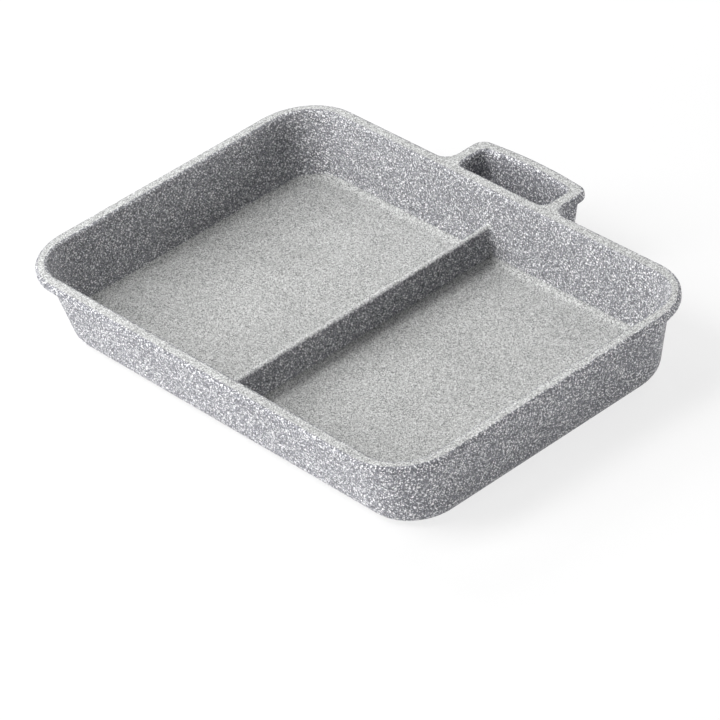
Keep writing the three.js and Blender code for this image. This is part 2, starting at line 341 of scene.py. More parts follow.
@dataclass(frozen=True)
class MarbleCoat:
    """Matte grey non-stick coat: short white strokes in a dark grain, with salt and pepper on the floor. Its
    paler floor colours are partly painted light, and the tops carry a painted highlight.
    """

    # The ground's blue cast partly paints the cool tint of shade.
    ground: Colour = (0.203, 0.205, 0.226, 1.0)
    # The floor's colours are partly painted light: paler than the walls' to stand in for the light on the
    # floor, the tops and the fillets.
    ground_floor: Colour = (0.436, 0.440, 0.434, 1.0)
    white: Colour = (0.95, 0.95, 0.96, 1.0)
    white_floor: Colour = (0.82, 0.823, 0.812, 1.0)
    dark: Colour = (0.09, 0.09, 0.095, 1.0)
    # Gain of the painted highlight that lightens the tops.
    pale: float = 1.16
    grain_size: float = 0.40
    grain_range: Point = (0.45, 1.55)
    stroke_sizes: tuple[float, ...] = (0.58, 0.68, 0.95)
    stroke_shares: tuple[float, ...] = (0.46, 0.46, 0.40)
    stroke_reach: Point = (0.29, 0.36)
    stroke_length: float = 1.8
    stroke_turns: tuple[Vertex, ...] = ((0.2, 0.3, 0.5), (0.0, 1.1, 2.1), (0.9, -0.5, 3.9))
    salt_size: float = 0.48
    salt_share: float = 0.50
    salt_reach: Point = (0.28, 0.42)
    pepper_size: float = 0.52
    pepper_share: float = 0.50
    pepper_reach: Point = (0.28, 0.44)
    pepper_tone: float = 0.12
    dot_size: float = 9.0
    dot_share: float = 0.45
    dot_reach: Point = (0.025, 0.055)
    dot_cover: float = 0.8
    speck_least: float = 0.7
    speck_spread: float = 0.6
    wander_scale: float = 1.3
    wander_detail: float = 2.0
    wander: float = 0.7
    cloud_scale: float = 0.035
    cloud_detail: float = 3.0
    cloud_span: Point = (0.25, 0.75)
    cloud_range: Point = (0.96, 1.04)
    relief: float = 0.06
    relief_height: float = 0.0002
    roughness: float = 0.60
    ior: float = 1.46

    def cells(self, pen: NodePen, place: object, size: float) -> tuple[bpy.types.Node, bpy.types.Node]:
        """Irregular cells of one size.

        Args:
            pen: Pen of the material's tree.
            place: Coordinates in millimetres.
            size: Size of a cell in millimetres.

        Returns:
            The cells and their random values, split into channels.
        """
        inputs = {"Vector": place, "Scale": 1.0 / size, "Randomness": 1.0}
        cells = pen.node("ShaderNodeTexVoronoi", {"voronoi_dimensions": "3D", "feature": "F1"}, inputs)
        return cells, pen.node("ShaderNodeSeparateColor", inputs={"Color": cells.outputs["Color"]})

    def specks(
        self, pen: NodePen, place: object, size: float, share: float, reach: Point
    ) -> bpy.types.NodeSocket:
        """Mask of specks, one at most in each cell.

        Args:
            pen: Pen of the material's tree.
            place: Coordinates in millimetres.
            size: Size of a cell in millimetres.
            share: Share of the cells that hold a speck.
            reach: Radii, in cells, inside which a speck is full and outside which it is gone.

        Returns:
            The mask.
        """
        cells, draw = self.cells(pen, place, size)
        chosen = pen.math("LESS_THAN", draw.outputs["Red"], share)
        grown = pen.math("MULTIPLY_ADD", draw.outputs["Green"], self.speck_spread, self.speck_least)
        distance = pen.math("DIVIDE", cells.outputs["Distance"], grown)
        return pen.math("MULTIPLY", chosen, pen.ramp(distance, reach[1], reach[0]))

    def strokes(self, pen: NodePen, place: object) -> bpy.types.NodeSocket:
        """Mask of short strokes that lie in several directions.

        Args:
            pen: Pen of the material's tree.
            place: Coordinates in millimetres.

        Returns:
            The mask.
        """
        mask: object = 0.0
        for turn, size, share in zip(self.stroke_turns, self.stroke_sizes, self.stroke_shares):
            drawn = pen.node("ShaderNodeMapping", {"vector_type": "TEXTURE"}, {
                "Vector": place, "Rotation": turn, "Scale": (self.stroke_length, 1.0, 1.0)})
            family = self.specks(pen, drawn.outputs["Vector"], size, share, self.stroke_reach)
            mask = pen.math("MAXIMUM", mask, family)
        return mask

    def material(self) -> bpy.types.Material:
        """Builds the material.

        Returns:
            The material, which reads the vertex attributes "fineness" and "paleness".
        """
        material, pen = new_material("marble_coat")
        place = millimetres(pen)
        # Share of the floor's finer coat, whose paler colours are partly painted light.
        fine = pen.node("ShaderNodeAttribute", {"attribute_name": "floor_coat_and_light"}).outputs["Fac"]
        # Painted highlight on the tops.
        top_highlight = pen.node("ShaderNodeAttribute", {"attribute_name": "top_highlight"}).outputs["Fac"]
        wander = pen.node("ShaderNodeTexNoise",
                          inputs={"Vector": place, "Scale": self.wander_scale, "Detail": self.wander_detail})
        bent = pen.node("ShaderNodeVectorMath", {"operation": "MULTIPLY_ADD"},
                        {0: wander.outputs["Color"], 1: (self.wander,) * 3, 2: place}).outputs["Vector"]
        salt = self.specks(pen, bent, self.salt_size, self.salt_share, self.salt_reach)
        pepper = self.specks(pen, bent, self.pepper_size, self.pepper_share, self.pepper_reach)
        light = pen.node("ShaderNodeMix", {"data_type": "FLOAT"},
                         {0: fine, 2: self.strokes(pen, bent), 3: salt}).outputs[0]
        grain_draw = self.cells(pen, place, self.grain_size)[1]
        grain = pen.ramp(grain_draw.outputs["Red"], 0.0, 1.0, self.grain_range)
        cloud = pen.node("ShaderNodeTexNoise",
                         inputs={"Vector": place, "Scale": self.cloud_scale, "Detail": self.cloud_detail})
        tone = pen.ramp(cloud.outputs["Fac"], *self.cloud_span, self.cloud_range)
        # Random cloudy tone times the painted highlight on the tops.
        tone_and_top_highlight = pen.math("MULTIPLY", tone, pen.ramp(top_highlight, 0.0, 1.0, (1.0, self.pale)))
        peppered = pen.math("MULTIPLY", grain, pen.ramp(pepper, 0.0, 1.0, (1.0, self.pepper_tone)))
        ground = pen.node("ShaderNodeVectorMath", {"operation": "SCALE"},
                          {0: pen.mix(fine, self.ground, self.ground_floor), "Scale": peppered})
        speckled = pen.mix(light, ground.outputs["Vector"], pen.mix(fine, self.white, self.white_floor))
        raised = pen.node("ShaderNodeVectorMath", {"operation": "SCALE"}, {0: speckled, "Scale": tone_and_top_highlight})
        dots = self.specks(pen, place, self.dot_size, self.dot_share, self.dot_reach)
        colour = pen.mix(pen.math("MULTIPLY", dots, self.dot_cover), raised.outputs["Vector"], self.dark)
        bump = pen.node("ShaderNodeBump",
                        inputs={"Strength": self.relief, "Distance": self.relief_height, "Height": light})
        coat = pen.node("ShaderNodeBsdfPrincipled",
                        inputs={"Base Color": colour, "Normal": bump.outputs["Normal"]})
        coat.inputs["Roughness"].default_value = self.roughness
        coat.inputs["IOR"].default_value = self.ior
        surface_output(pen, coat.outputs["BSDF"])
        return material


@dataclass(frozen=True)
class BrushedMetal:
    """Bare metal with fine marks along X."""

    name: str
    tone: Colour
    worn: Colour
    roughness: Point
    mark: float = 0.35
    mark_stretch: float = 0.02
    mark_roughness: float = 0.65
    stain_scale: float = 0.05
    stain_roughness: float = 0.6
    detail: float = 4.0
    tone_span: Point = (0.35, 0.65)
    roughness_span: Point = (0.3, 0.7)
    relief: float = 0.12
    relief_height: float = 0.00005

    def material(self) -> bpy.types.Material:
        """Builds the material.

        Returns:
            The material.
        """
        material, pen = new_material(self.name)
        along = millimetres(pen, (self.mark_stretch, 1.0, 1.0))
        marks = pen.node("ShaderNodeTexNoise", inputs={
            "Vector": along, "Scale": 1.0 / self.mark,
            "Detail": self.detail, "Roughness": self.mark_roughness})
        stains = pen.node("ShaderNodeTexNoise", inputs={
            "Vector": millimetres(pen), "Scale": self.stain_scale,
            "Detail": self.detail, "Roughness": self.stain_roughness})
        half_marks = pen.math("MULTIPLY", marks.outputs["Fac"], 0.5)
        spread = pen.math("MULTIPLY_ADD", stains.outputs["Fac"], 0.5, half_marks)
        colour = pen.mix(pen.ramp(spread, *self.tone_span), self.worn, self.tone)
        rough = pen.ramp(spread, *self.roughness_span, self.roughness)
        bump = pen.node("ShaderNodeBump", inputs={
            "Strength": self.relief, "Distance": self.relief_height, "Height": marks.outputs["Fac"]})
        metal = pen.node("ShaderNodeBsdfPrincipled",
                         inputs={"Base Color": colour, "Roughness": rough, "Normal": bump.outputs["Normal"]})
        metal.inputs["Metallic"].default_value = 1.0
        surface_output(pen, metal.outputs["BSDF"])
        return material


BARE_ALUMINIUM = BrushedMetal(
    name="bare_aluminium",
    tone=(0.80, 0.80, 0.81, 1.0),
    worn=(0.66, 0.66, 0.67, 1.0),
    roughness=(0.38, 0.55),
)
INDUCTION_STEEL = BrushedMetal(
    name="induction_steel",
    tone=(0.60, 0.60, 0.61, 1.0),
    worn=(0.47, 0.47, 0.48, 1.0),
    roughness=(0.28, 0.42),
)


@dataclass
class LoopForm:
    """Plan of one bowed outline of the loop: a straight side, a round corner and a bowed back."""

    half: float
    back: float
    bow: float
    radius: float
    corner_steps: int = 10
    bow_steps: int = 8

    def half_outline(self, inset: float = 0.0) -> list[Point]:
        """Right half of the outline, from the end of the straight side to the middle of the back.

        Args:
            inset: Distance by which the whole outline moves in.

        Returns:
            Points from the side to x = 0.
        """
        bow_radius = (self.half**2 + self.bow**2) / (2 * self.bow)
        centre = self.back - bow_radius
        corner_x = self.half - self.radius
        corner_y = centre + math.sqrt((bow_radius - self.radius) ** 2 - corner_x**2)
        swing = math.asin(corner_x / (bow_radius - self.radius))
        corner = arc(corner_x, corner_y, self.radius - inset, 0.0, QUARTER - swing, self.corner_steps)
        bow = arc(0.0, centre, bow_radius - inset, QUARTER - swing, QUARTER, self.bow_steps)
        return corner + bow[1:-1] + [(0.0, self.back - inset)]


@dataclass
class PanCasting:
    """Tray with its lip, the divider and the loop, as the one casting that they are."""

    FLOOR_MARGIN = 0.5

    rim_length: float = 280.0
    rim_depth: float = 190.0
    rim_corner: float = 31.0
    inner_corner: float = 26.0
    corner_tightening: float = 0.6
    height: float = 43.0
    wall: float = 3.0
    draft: float = math.radians(11.0)
    floor: float = 8.0
    floor_fillet: float = 4.2
    base_fillet: float = 9.0
    lip: float = 4.6
    overhang: float = 4.5
    lip_edge: float = 1.4
    inner_edge: float = 1.7
    lip_fillet: float = 1.6
    divider_height: float = 17.3
    divider_top: float = 3.6
    divider_edge: float = 1.5
    divider_draft: float = math.radians(4.0)
    divider_fillet: float = 1.6
    divider_end: float = 4.6
    divider_zone: float = 13.0
    loop_width: float = 75.0
    loop_reach: float = 25.0
    loop_bow: float = 2.6
    loop_corner: float = 6.5
    side_bar: float = 7.4
    back_bar: float = 5.8
    opening_corner: float = 4.5
    root_fillet: float = 7.0
    root_end: float = 52.0
    skirt_depth: float = 25.0
    skirt_inset: float = 3.0
    skirt_draft: float = math.radians(9.0)
    skirt_edge: float = 1.2
    recess_length: float = 214.6
    recess_depth: float = 124.6
    recess_corner: float = 14.3
    recess: float = 0.8
    # Places of mesh lines: a height on the outer wall and distances along X.
    wall_row: float = 12.0
    front_columns: Point = (45.0, 75.0)
    back_column: float = 32.0
    # Fillets at the divider's ends: they grow above the floor and shrink below the divider's top.
    end_foot: float = 2.0
    end_rise: float = 6.0
    end_fall: float = 4.0
    end_room: float = 0.4
    zone_share: float = 0.7
    blend_height: float = 12.0
    # Limits of the coat's zones inside: a depth below the divider's top, above which the crest gets the
    # tops' painted highlight, and a share of the floor's fillet, below which the floor's paler coat paints
    # light onto the fillet.
    crest_depth: float = 0.6
    fillet_light_share: float = 0.6
    crease: float = 38.0
    corner_steps: int = 26
    side_steps: int = 4
    base_steps: int = 9
    lip_steps: int = 5
    skirt_steps: int = 4
    edge_steps: int = 6
    fillet_steps: int = 16
    opening_steps: int = 8
    root_steps: int = 10
    crest_steps: int = 7
    face_steps: int = 12
    foot_steps: int = 18
    floor_steps: int = 26
    bisections: int = 48
    mesh: HalfMesh = field(default_factory=HalfMesh)

    @property
    def lip_underside(self) -> float:
        """Height of the lip's flat underside."""
        return self.height - self.lip

    @property
    def skirt_bottom(self) -> float:
        """Height of the lower end of the loop's socket."""
        return self.height - self.skirt_depth

    def wall_inset(self, z: float) -> float:
        """Distance in from the rim of the outer wall at one height."""
        return self.overhang + (self.lip_underside - z) * math.tan(self.draft)

    def inner_inset(self, z: float) -> float:
        """Distance in from the rim of the inner wall at one height."""
        return self.wall_inset(z) + self.wall

    @property
    def floor_inset(self) -> float:
        """Distance in from the rim at which the flat floor starts."""
        top = self.floor + self.floor_fillet * (1 - math.sin(self.draft))
        return self.inner_inset(top) + self.floor_fillet * math.cos(self.draft)

    def half_path(
        self, length: float, depth: float, radius: float, front: list[float], back: list[float]
    ) -> list[Point]:
        """Right half of a rounded rectangle, from its front to its back.

        Args:
            length: Length along X.
            depth: Depth along Y.
            radius: Corner radius.
            front: Places along X on the front side, from the middle outwards.
            back: Places along X on the back side, from the outside to the middle.

        Returns:
            Points from the first place on the front to the last one on the back.
        """
        x = length / 2 - radius
        y = depth / 2 - radius
        side = [(length / 2, v) for v in even(-y, y, self.side_steps)[1:-1]]
        return [
            *[(v, -depth / 2) for v in front],
            *arc(x, -y, radius, -QUARTER, 0.0, self.corner_steps),
            *side,
            *arc(x, y, radius, 0.0, QUARTER, self.corner_steps),
            *[(v, depth / 2) for v in back],
        ]

    def tray_path(self, inset: float, z: float, front: list[float], back: list[float]) -> list[Vertex]:
        """Right half of the tray's outside.

        Args:
            inset: Distance in from the rim.
            z: Height in millimetres.
            front: Places along X on the front side, from the middle outwards.
            back: Places along X on the back side, from the outside to the middle.

        Returns:
            Points from the front to the back.
        """
        radius = self.rim_corner - self.corner_tightening * inset
        plan = self.half_path(self.rim_length - 2 * inset, self.rim_depth - 2 * inset, radius, front, back)
        return at_height(plan, z)

    def inner_path(self, inset: float, z: float) -> list[Vertex]:
        """Right half of the tray's inside beyond the divider, with corners closer to the lip's edge.

        Args:
            inset: Distance in from the rim.
            z: Height in millimetres.

        Returns:
            Points from the front to the back.
        """
        radius = self.inner_corner - self.corner_tightening * inset
        plan = self.half_path(self.rim_length - 2 * inset, self.rim_depth - 2 * inset, radius,
                              self.inner_front(), self.inner_back())
        return at_height(plan, z)

    def base_section(self) -> list[Point]:
        """Outside of the tray from the edge of the base up to the lip.

        Returns:
            Points as (inset, height).
        """
        tangent = self.base_fillet * (1 - math.sin(self.draft))
        base = self.wall_inset(tangent) + self.base_fillet * math.cos(self.draft)
        bottom = arc(base, self.base_fillet, self.base_fillet, 3 * QUARTER, 2 * QUARTER + self.draft,
                     self.base_steps)
        centre_z = self.lip_underside - self.lip_fillet
        centre = self.wall_inset(centre_z) - self.lip_fillet / math.cos(self.draft)
        top = arc(centre, centre_z, self.lip_fillet, self.draft, QUARTER, self.lip_steps)
        edge = self.skirt_bottom
        rounding = arc(0.0, self.skirt_edge, self.skirt_edge, -QUARTER, 0.0, self.skirt_steps)
        foot = [edge + p[1] for p in rounding]
        rows = [self.wall_row, *foot, *even(edge + self.skirt_edge, top[0][1], self.side_steps)[1:-1]]
        return [*bottom, *[(self.wall_inset(z), z) for z in rows], *top]

    def edge_section(self) -> list[Point]:
        """Outer edge of the lip from its underside to its top.

        Returns:
            Points as (inset, height).
        """
        edge = self.lip_edge
        lower = arc(edge, self.lip_underside + edge, edge, 3 * QUARTER, 2 * QUARTER, self.edge_steps)
        return [*lower, *self.upper_edge()]

    def upper_edge(self) -> list[Point]:
        """Rounding of the lip's upper outer edge, from its side to its top, as (inset, height)."""
        edge = self.lip_edge
        return arc(edge, self.height - edge, edge, 2 * QUARTER, QUARTER, self.edge_steps)

    def inner_section(self) -> list[Point]:
        """Inside of the tray from the lip's inner edge down to the floor.

        Returns:
            Points as (inset, height).
        """
        edge = self.inner_edge
        tangent = self.height - edge * (1 - math.sin(self.draft))
        lip = self.inner_inset(tangent) - edge * math.cos(self.draft)
        rounded = arc(lip, self.height - edge, edge, QUARTER, self.draft, self.edge_steps)
        centre = self.floor + self.floor_fillet
        fillet = arc(self.floor_inset, centre, self.floor_fillet, 2 * QUARTER + self.draft, 3 * QUARTER,
                     self.fillet_steps)
        rows = even(rounded[-1][1], fillet[0][1], self.fillet_steps)[1:-1]
        return [*rounded, *[(self.inner_inset(z), z) for z in rows], *fillet]

    def skirt_reach(self, z: float) -> Point:
        """Loss of the socket's outer and inner outlines at one height.

        Args:
            z: Height in millimetres.

        Returns:
            How far the outer outline moves in and the inner one moves in.
        """
        slope = math.tan(self.skirt_draft)
        rise = self.skirt_edge - (z - self.skirt_bottom)
        rounding = 0.0
        if rise > 0:
            rounding = self.skirt_edge - math.sqrt(max(self.skirt_edge**2 - rise**2, 0.0))
        return (self.lip_underside - z) * slope + rounding, (self.height - z) * slope - rounding

    def skirt_outline(self, z: float) -> list[Point]:
        """Right half of the socket's outside.

        Args:
            z: Height in millimetres.

        Returns:
            Points from its corner to the middle of its back.
        """
        loss = self.skirt_inset + self.skirt_reach(z)[0]
        radius = self.loop_corner - self.skirt_inset
        back = self.rim_depth / 2 + self.loop_reach
        return LoopForm(self.loop_width / 2 - loss, back - loss, self.loop_bow, radius).half_outline()

    def opening_outline(self, loss: float) -> list[Point]:
        """Right half of the back of the loop's opening.

        Args:
            loss: Distance by which the opening is narrower than at the top.

        Returns:
            Points from its back corner to the middle of its back.
        """
        back = self.rim_depth / 2 + self.loop_reach - self.back_bar
        half = self.loop_width / 2 - self.side_bar
        radius = self.opening_corner + max(-loss, 0.0)
        return LoopForm(half - loss, back - loss, self.loop_bow, radius).half_outline()

    def mouth_row(self, z: float, flare: float) -> list[Vertex]:
        """Right half of the opening in the flange.

        Args:
            z: Height in millimetres.
            flare: Widening where the top edge is rounded.

        Returns:
            Points from the middle of the front to the middle of the back.
        """
        loss = (self.height - z) * math.tan(self.skirt_draft) - flare
        half = self.loop_width / 2 - self.side_bar - loss
        radius = self.opening_corner + flare
        centre_y = self.rim_depth / 2 + self.opening_corner
        front = arc(half - radius, centre_y, radius, -QUARTER, 0.0, self.opening_steps)
        plan = [(0.0, centre_y - radius), *front, *self.opening_outline(loss)]
        return at_height(plan, z)

    def flange_row(self, inset: float, z: float, front: list[float], back: list[float]) -> list[Vertex]:
        """Right half of the lip's outline with the loop in it.

        Args:
            inset: Distance in from the edge.
            z: Height in millimetres.
            front: Places along X on the front side, from the middle outwards.
            back: Places along X on the back side, from the outside to the loop.

        Returns:
            Points from the front to the middle of the loop's back.
        """
        rim = self.tray_path(inset, z, front, back)
        half = self.loop_width / 2
        root = arc(half + self.root_fillet, self.rim_depth / 2 + self.root_fillet,
                   self.root_fillet + inset, 3 * QUARTER, 2 * QUARTER, self.root_steps)
        form = LoopForm(half, self.rim_depth / 2 + self.loop_reach, self.loop_bow, self.loop_corner)
        return rim + at_height(root + form.half_outline(inset), z)

    def build_outside(self) -> None:
        """Lays the underside, the outer wall, the loop's socket and the lip's edge."""
        front = [0.0, *self.inner_front()]
        far = self.inner_back()[:2]
        mesh = self.mesh
        section = self.base_section()
        walls, throat, skirt = [], [], []
        for inset, z in section:
            outer_loss, inner_loss = self.skirt_reach(max(z, self.skirt_bottom))
            outer = self.loop_width / 2 - self.skirt_inset - outer_loss
            inner = self.loop_width / 2 - self.side_bar - inner_loss
            columns = [*far, outer, inner, inner * 2 / 3, inner / 3, 0.0]
            walls.append(self.tray_path(inset, z, front, columns))
            if z > self.skirt_bottom - TOLERANCE:
                seat = self.rim_depth / 2 - inset
                side = self.rim_depth / 2 + self.opening_corner
                skirt.append(at_height([(outer, seat), *self.skirt_outline(z)], z))
                inside = [(inner, seat), (inner, side), *self.opening_outline(inner_loss)]
                throat.append(at_height(inside, z))
        below = len(section) - len(skirt) + 1
        outer_column = len(walls[0]) - len(columns) + len(far)
        recess = at_height(self.half_path(self.recess_length, self.recess_depth, self.recess_corner,
                                          front, [p[0] for p in walls[0][outer_column - len(far):]]), 0.0)
        raised = [(x, y, self.recess) for x, y, _ in recess]
        mesh.polygon(raised, Zone.OUTSIDE)
        mesh.strip([raised, recess, *walls[:below]], Zone.OUTSIDE)
        mesh.strip(walls[below - 1:], Zone.OUTSIDE, skip=(outer_column,))
        mesh.strip(skirt, Zone.OUTSIDE)
        mesh.strip(throat, Zone.OUTSIDE)
        mesh.polygon([*skirt[0][:2], *throat[0][:3][::-1]], Zone.OUTSIDE)
        mesh.strip([skirt[0][1:], throat[0][2:]], Zone.OUTSIDE)

        edges = [self.flange_row(inset, z, front, far) for inset, z in self.edge_section()]
        mesh.strip(edges, Zone.OUTSIDE)
        mesh.strip([walls[-1][:outer_column], edges[0][:outer_column]], Zone.OUTSIDE)
        ledge = [walls[-1][outer_column - 1], *skirt[-1], *edges[0][outer_column - 1:][::-1]]
        mesh.polygon(ledge, Zone.OUTSIDE)

        rounded = [self.mouth_row(z, flare) for flare, z in self.upper_edge()]
        mouth = [self.mouth_row(self.lip_underside, 0.0), *rounded]
        mesh.strip(mouth, Zone.OUTSIDE)
        front_points = len(mouth[0]) - len(throat[-1]) + 2
        apron = [*walls[-1][outer_column + 1:], *mouth[0][:front_points]]
        if math.dist(apron[-1], throat[-1][1]) > TOLERANCE:
            raise ValueError("the opening and the socket don't meet")
        mesh.polygon(apron, Zone.OUTSIDE)
        self.build_top(edges[-1], mouth[-1], outer_column)

    def build_top(self, edge: list[Vertex], mouth: list[Vertex], shared: int) -> None:
        """Lays the flat top of the lip and the loop.

        Args:
            edge: Inner end of the lip's rounded outer edge.
            mouth: Upper end of the opening.
            shared: Number of points before the edge leaves the tray's outline.
        """
        inset, z = self.inner_section()[0]
        rim = self.inner_path(inset, z)
        columns = self.divider_columns()
        depth = self.rim_depth / 2 - inset
        self.mesh.strip([edge[1:shared], rim[:shared - 1]], Zone.TOP)
        front = [(x, -depth, z) for x in columns]
        self.mesh.polygon([edge[0], edge[1], *front[::-1]], Zone.TOP)
        back = [(x, depth, z) for x in columns]
        plate = [*edge[shared - 1:], *mouth[::-1], *back, *rim[shared - 2:][:-1][::-1]]
        self.mesh.polygon(plate, Zone.TOP)

    def inner_front(self) -> list[float]:
        """Places along X on the front of the inside, beyond the divider."""
        return [self.divider_zone, *self.front_columns]

    def inner_back(self) -> list[float]:
        """Places along X on the back of the inside, beyond the divider."""
        return [self.front_columns[1], self.root_end, self.back_column, self.divider_zone]

    def divider_columns(self) -> list[float]:
        """Places along X of the divider's own lines.

        Returns:
            Places from its middle to the end of its zone.
        """
        flat = self.divider_top / 2 - self.divider_edge
        crest = arc(flat, 0.0, self.divider_edge, QUARTER, self.divider_draft, self.crest_steps)
        rounded = [p[0] for p in crest]
        straight = self.divider_height - self.divider_fillet
        widest = self.divider_top / 2 + straight * math.tan(self.divider_draft)
        side = even(rounded[-1], widest, self.face_steps)[1:]
        reach = self.divider_end + self.end_room
        foot = [side[-1] + reach * (1 - math.cos(a)) for a in even(0.0, QUARTER, self.foot_steps)[1:]]
        beyond = [self.divider_zone * self.zone_share, self.divider_zone]
        return [0.0, flat / 2, *rounded, *side, *foot, *beyond]

    def inside_zone(self, place: Vertex) -> Zone:
        """Part of the inside that a place lies on.

        Args:
            place: Place in millimetres.

        Returns:
            The top of the divider, the floor or a wall.
        """
        x, y, z = place
        crest = self.floor + self.divider_height
        inner = self.rim_depth / 2 - self.inner_inset(crest)
        # The divider's crest takes the painted highlight of the tops.
        if z > crest - self.crest_depth and abs(x) < self.divider_top / 2 and abs(y) < inner:
            return Zone.TOP
        # The fillet's lower part takes the floor's paler coat, as painted light.
        if z < self.floor + self.fillet_light_share * self.floor_fillet:
            return Zone.FLOOR
        return Zone.INNER_WALL

    def clearance(self, x: np.ndarray, y: np.ndarray, z: np.ndarray) -> np.ndarray:
        """Distance of points from the inside of the casting, negative within the metal.

        Args:
            x: Places along X.
            y: Places along Y.
            z: Heights.

        Returns:
            The distances, with the divider blended into the floor and the walls.
        """
        inset = self.rim_depth / 2 - np.abs(y)
        wall = (inset - self.inner_inset(0.0) + z * math.tan(self.draft)) * math.cos(self.draft)
        tray = np.minimum(wall, z - self.floor)
        du = inset - self.floor_inset
        dz = z - (self.floor + self.floor_fillet)
        angle = np.arctan2(-dz, -du)
        in_fillet = (angle > self.draft) & (angle < QUARTER)
        tray = np.where(in_fillet, self.floor_fillet - np.hypot(du, dz), tray)
        top = self.floor + self.divider_height
        half = self.divider_top / 2 + (top - z) * math.tan(self.divider_draft)
        a = (np.abs(x) - half) * math.cos(self.divider_draft) + self.divider_edge
        b = z - top + self.divider_edge
        corner = np.hypot(np.maximum(a, 0.0), np.maximum(b, 0.0))
        divider = np.minimum(np.maximum(a, b), 0.0) + corner - self.divider_edge
        risen = np.clip((z - self.floor - self.end_foot) / self.end_rise, 0.0, 1.0)
        kept = np.clip((top - z) / self.end_fall, 0.0, 1.0)
        blend = self.divider_fillet + (self.divider_end - self.divider_fillet) * (risen * kept)
        reach = np.hypot(np.maximum(blend - tray, 0.0), np.maximum(blend - divider, 0.0))
        return np.maximum(blend, np.minimum(tray, divider)) - reach

    def divider_rows(self) -> list[list[Vertex]]:
        """Rows across the divider's zone, with their heights found by bisection.

        Returns:
            Rows from the front lip down, over the divider and up to the back lip.
        """
        section = self.inner_section()
        depth = self.rim_depth / 2
        start = depth - section[-1][0]
        floor = [(v, self.floor) for v in even(-start, start, self.floor_steps)[1:-1]]
        line = [(inset - depth, z) for inset, z in section] + floor
        line += [(depth - inset, z) for inset, z in section[::-1]]
        columns = np.array(self.divider_columns())
        y = np.array([p[0] for p in line])[:, None] + 0.0 * columns[None, :]
        x = columns[None, :] + 0.0 * y
        level = np.array([p[1] for p in line])[:, None] + 0.0 * x
        low = np.full_like(x, self.floor - self.FLOOR_MARGIN)
        high = np.full_like(x, self.height)
        for _ in range(self.bisections):
            middle = (low + high) / 2
            free = self.clearance(x, y, middle) > 0
            high = np.where(free, middle, high)
            low = np.where(free, low, middle)
        above = level > self.floor + self.divider_height + self.blend_height
        plain = above | (x > self.divider_zone - TOLERANCE)
        z = np.where(plain, level, np.maximum(high, level))
        return [list(zip(x[i].tolist(), y[i].tolist(), z[i].tolist())) for i in range(len(line))]

    def build_inside(self) -> None:
        """Lays the inner walls, the divider and the floor."""
        section = self.inner_section()
        rows = [self.inner_path(inset, z) for inset, z in section]
        self.mesh.strip(rows, self.inside_zone)
        across = self.divider_rows()
        self.mesh.strip(across, self.inside_zone)
        count = len(section)
        edge = [row[-1] for row in across[count:-count]]
        self.mesh.polygon([*rows[-1], *edge[::-1]], Zone.FLOOR)

    def build(self) -> bpy.types.Object:
        """Builds the casting as one closed mesh.

        Returns:
            The piece.
        """
        self.build_inside()
        self.build_outside()
        piece = new_piece("pan_casting", self.mesh.to_mesh("pan_casting"))
        smooth_piece(piece, self.crease)
        return piece

    def dress(self, piece: bpy.types.Object, coat: MarbleCoat) -> None:
        """Gives the casting its coat and its place in the frame.

        Args:
            piece: The casting.
            coat: Finish of the casting.
        """
        piece.data.materials.append(coat.material())
        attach(piece, "root")
        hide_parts("pan_shell", "divider_wall", "loop_handle")


